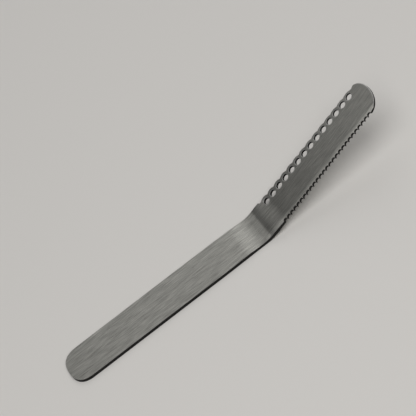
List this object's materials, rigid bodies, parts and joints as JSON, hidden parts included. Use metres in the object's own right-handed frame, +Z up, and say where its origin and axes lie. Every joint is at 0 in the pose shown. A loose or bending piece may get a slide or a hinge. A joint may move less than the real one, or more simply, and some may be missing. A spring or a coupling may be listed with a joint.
{
  "type": "butter spreader knife",
  "caption": "Flat steel butter spreader with a straight round-ended handle, a bent neck, and a round-tipped blade with a row of curler holes along one edge and fine serrations along the other.",
  "frame": {"origin": "middle of the bounding box, on the flat underside of the handle, the surface that the knife lies on", "axes": "+X from the handle end towards the blade tip, +Y towards the edge with the row of holes, +Z up, the side that the blade is bent towards"},
  "size_m": [0.2048, 0.0216, 0.0352],
  "materials": {
    "brushed_steel": "satin stainless steel, brushed along the length"
  },
  "bodies": {
    "root": {"spreader_knife": "brushed_steel"}
  },
  "joints": []
}
